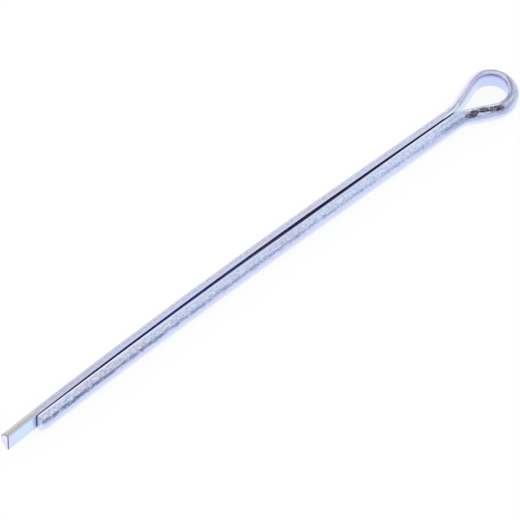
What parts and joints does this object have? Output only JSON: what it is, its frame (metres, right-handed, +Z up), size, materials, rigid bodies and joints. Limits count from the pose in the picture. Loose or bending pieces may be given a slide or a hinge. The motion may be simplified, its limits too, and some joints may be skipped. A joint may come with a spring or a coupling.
{
  "type": "cotter pin",
  "caption": "Split cotter pin: half-round steel wire folded flat to flat, with an eye at the fold and one prong longer than the other.",
  "frame": {"origin": "the neck, on the shank's axis, where the two prongs come together below the eye", "axes": "+X along the shank from the eye to the tips; +Z up, across the wire's width; +Y to the side of the short prong"},
  "size_m": [0.0387, 0.0033, 0.0014],
  "materials": {
    "zinc_plate": "bright zinc plate with a clear blue passivate, on drawn steel wire"
  },
  "bodies": {
    "root": {"cotter_pin": "zinc_plate"}
  },
  "joints": []
}
